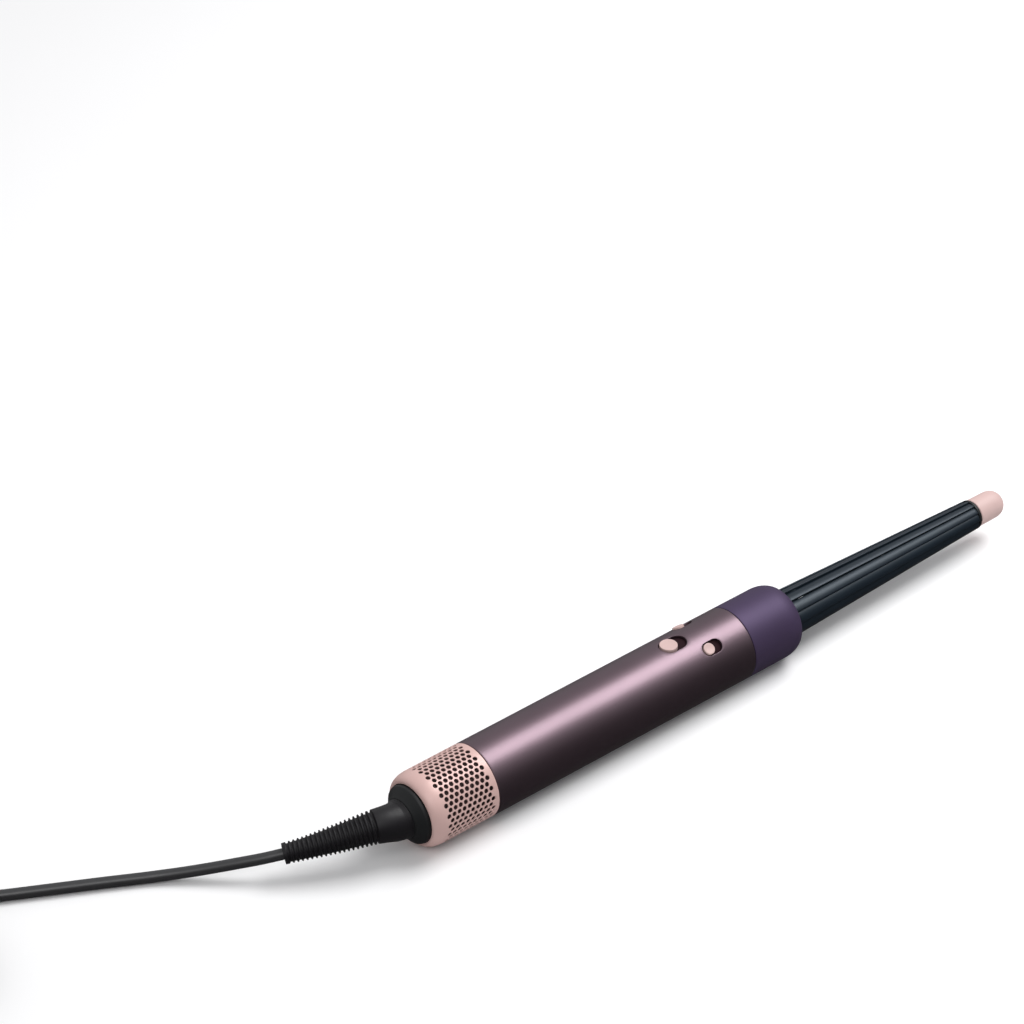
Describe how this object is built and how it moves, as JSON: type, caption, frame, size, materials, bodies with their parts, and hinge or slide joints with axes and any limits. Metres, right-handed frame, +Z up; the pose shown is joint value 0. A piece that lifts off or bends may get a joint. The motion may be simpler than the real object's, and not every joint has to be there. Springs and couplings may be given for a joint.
{
  "type": "hair curler",
  "caption": "Hand-held air hair curler: dark tube handle with perforated filter cage and slide buttons, removable tapered black curling barrel with collar and cool tip, mains cord with plug",
  "frame": {"origin": "Centre of the bounding box of the styler without its free cord, on the surface that it lies on", "axes": "+X runs along the handle toward the cool tip, +Z is up through the power slider, and +Y completes the right-handed set"},
  "size_m": [0.7425, 0.1559, 0.0417],
  "materials": {
    "plum_metal": "dark plum satin metallic",
    "purple_metal": "muted purple satin metallic",
    "pink_metal": "dusty pink satin metallic, perforated",
    "pink_plastic": "pale pink satin plastic",
    "black_plastic": "black satin plastic",
    "black_rubber": "soft black rubber",
    "cord_rubber": "grey black cord sheath",
    "barrel_black": "near black heat resistant plastic",
    "steel": "plain steel",
    "aluminium_die": "die cast aluminium",
    "mica": "mica heat insulator",
    "copper": "enamelled copper winding",
    "board": "green circuit board",
    "chip": "electronic components",
    "wire_sheath": "wire insulation",
    "nylon_grey": "grey nylon",
    "silicone_red": "silicone seal",
    "mesh_steel": "fine woven mesh",
    "chrome_pin": "plated pin"
  },
  "bodies": {
    "handle": {"handle_shell": "plum_metal", "intake_frame": "black_plastic", "cable_bell": "black_plastic", "inner_lead": "cord_rubber", "cord_clamp": "nylon_grey", "clamp_screws": "steel", "power_leads": "wire_sheath", "motor_housing": "aluminium_die", "rear_motor_mount": "black_rubber", "front_motor_mount": "black_rubber", "diffuser": "aluminium_die", "motor_spider": "aluminium_die", "stator_core": "steel", "stator_windings": "copper", "rotor_bearings": "steel", "inverter_board": "board", "duct_adapter": "nylon_grey", "heater_sleeve": "mica", "heater_card": "mica", "heater_coils": "steel", "thermal_fuse": "aluminium_die", "thermistor": "chip", "control_board": "board", "board_components": "chip", "switch_carrier": "nylon_grey", "slide_switches": "chip", "outlet_spigot": "nylon_grey", "outlet_seal": "silicone_red", "outlet_grille": "black_plastic", "latch_spring": "steel", "strain_relief": "black_rubber", "cord_run": "cord_rubber", "cord_coil": "cord_rubber", "cord_tail": "cord_rubber", "cord_tie": "black_rubber", "plug_body": "black_rubber", "plug_pins": "chrome_pin"},
    "filter": {"filter_cage": "pink_metal", "filter_mesh": "mesh_steel", "filter_seal": "black_rubber"},
    "power_slider": {"power_button": "pink_plastic", "power_plate": "black_plastic"},
    "airflow_slider": {"airflow_button": "pink_plastic", "airflow_plate": "black_plastic"},
    "temperature_slider": {"temperature_button": "pink_plastic", "temperature_plate": "black_plastic"},
    "release": {"release_button": "pink_plastic"},
    "rotor": {"impeller": "aluminium_die", "motor_shaft": "steel", "rotor_magnet": "chip"},
    "attachment": {"attachment_collar": "purple_metal", "socket_sleeve": "nylon_grey", "selector_plate": "nylon_grey", "barrel_shell": "barrel_black", "barrel_core": "steel", "barrel_end_ring": "black_plastic"},
    "tip": {"cool_tip": "pink_plastic", "tip_spindle": "steel", "airflow_shutter": "nylon_grey"}
  },
  "joints": [
    {"name": "filter_off", "type": "slide", "parent": "handle", "child": "filter", "axis": [-1, 0, 0], "range_m": [0, 0.036]},
    {"name": "power_slide", "type": "slide", "parent": "handle", "child": "power_slider", "axis": [1, 0, 0], "range_m": [0, 0.0056]},
    {"name": "airflow_slide", "type": "slide", "parent": "handle", "child": "airflow_slider", "axis": [1, 0, 0], "range_m": [0, 0.0048]},
    {"name": "temperature_slide", "type": "slide", "parent": "handle", "child": "temperature_slider", "axis": [1, 0, 0], "range_m": [0, 0.0048]},
    {"name": "release_press", "type": "slide", "parent": "handle", "child": "release", "axis": [0, 0, 1], "range_m": [0, 0.001], "stiffness_N_per_m": 400, "springref_m": -0.001, "deforming": ["latch_spring"]},
    {"name": "motor_spin", "type": "hinge", "parent": "handle", "child": "rotor", "pos_m": [-0.12, 0, 0.0205], "axis": [1, 0, 0], "continuous": true},
    {"name": "attachment_off", "type": "slide", "parent": "handle", "child": "attachment", "axis": [1, 0, 0], "range_m": [0, 0.032]},
    {"name": "tip_turn", "type": "hinge", "parent": "attachment", "child": "tip", "pos_m": [0.2, 0, 0.0205], "axis": [1, 0, 0], "range_deg": [0, 60]}
  ]
}
